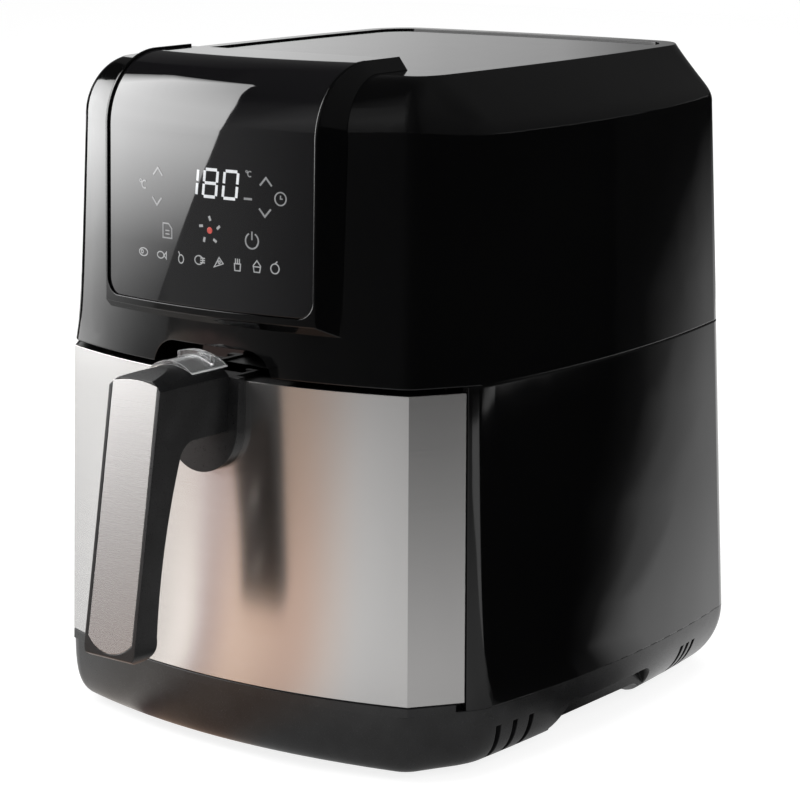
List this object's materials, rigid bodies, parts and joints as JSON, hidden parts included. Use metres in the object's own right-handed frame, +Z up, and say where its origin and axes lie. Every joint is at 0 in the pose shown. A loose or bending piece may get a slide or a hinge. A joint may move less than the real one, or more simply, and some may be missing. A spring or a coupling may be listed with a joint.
{
  "type": "air fryer",
  "caption": "Basket air fryer: gloss black housing, proud touch panel curling onto the top, brushed steel drawer front with upright handle, sliding button guard, pan and basket.",
  "frame": {"origin": "centre of the bounding box in plan, on the floor under the feet", "axes": "+Z up, the drawer and its handle face -Y, +X to the right of a person facing the back"},
  "size_m": [0.2668, 0.3474, 0.3234],
  "materials": {
    "gloss_black": "high gloss",
    "satin_black": "satin",
    "panel_lens": "polished, printed from behind",
    "clear_cover": "clear moulded plastic",
    "brushed_steel": "fine horizontal brushing",
    "pan_coating": "non-stick coating",
    "sheet_steel": "bare sheet",
    "heater_tube": "dark oxide",
    "fan_aluminium": "plain",
    "fasteners": "plated",
    "bronze": "plain",
    "laminations": "varnished",
    "foot_rubber": "matte",
    "circuit_board": "solder mask",
    "electric_parts": "moulded"
  },
  "bodies": {
    "housing": {"upper_housing": "gloss_black", "control_hood": "gloss_black", "base_tray": "satin_black", "rubber_feet": "foot_rubber", "base_screws": "fasteners", "lower_housing": "gloss_black", "housing_screws": "fasteners", "top_plate": "gloss_black", "rear_vent": "satin_black", "cord_gland": "satin_black", "touch_panel": "panel_lens", "display_board": "circuit_board", "display_module": "electric_parts", "board_screws": "fasteners", "cavity_liner": "sheet_steel", "drawer_rails": "sheet_steel", "drawer_switch": "electric_parts", "heat_shield": "sheet_steel", "heating_element": "heater_tube", "element_clips": "sheet_steel", "temperature_probe": "fasteners", "thermal_cutout": "electric_parts", "motor_plate": "sheet_steel", "lower_bush": "bronze", "upper_bush": "bronze", "motor_strap": "sheet_steel", "motor_stator": "laminations", "motor_coil": "bronze", "motor_screws": "fasteners", "power_board": "circuit_board", "power_parts": "electric_parts"},
    "fan": {"motor_shaft": "fasteners", "motor_rotor": "laminations", "cooling_fan": "fan_aluminium", "convection_fan": "fan_aluminium", "fan_nut": "fasteners"},
    "drawer": {"steel_front": "brushed_steel", "drawer_frame": "satin_black", "frame_screws": "fasteners", "handle_socket": "satin_black", "handle_grip": "satin_black", "handle_insert": "brushed_steel", "handle_cover": "satin_black", "handle_screws": "fasteners", "latch_pin": "fasteners", "basket_strip": "brushed_steel", "basket_rivets": "fasteners", "pan": "pan_coating", "basket": "pan_coating", "crisper_plate": "pan_coating"},
    "button": {"release_button": "satin_black", "button_spring": "fasteners"},
    "latch": {"latch_lever": "sheet_steel"},
    "guard": {"button_guard": "clear_cover"}
  },
  "joints": [
    {"name": "drawer_slide", "type": "slide", "parent": "housing", "child": "drawer", "axis": [0, -1, 0], "range_m": [0, 0.18]},
    {"name": "fan_spin", "type": "hinge", "parent": "housing", "child": "fan", "pos_m": [0, 0.03675, 0.24], "axis": [0, 0, 1], "continuous": true},
    {"name": "button_press", "type": "slide", "parent": "drawer", "child": "button", "axis": [0, 0, -1], "range_m": [0, 0.0025], "stiffness_N_per_m": 400, "springref_m": -0.002, "deforming": ["button_spring"]},
    {"name": "latch_turn", "type": "hinge", "parent": "drawer", "child": "latch", "pos_m": [0, -0.09975, 0.1675], "axis": [1, 0, 0], "range_deg": [0, 8.6]},
    {"name": "guard_slide", "type": "slide", "parent": "drawer", "child": "guard", "axis": [0, -1, 0], "range_m": [0, 0.014]}
  ],
  "couplings": [
    {"joint": "latch_turn", "follows": "button_press", "rad_per_m": 58}
  ]
}
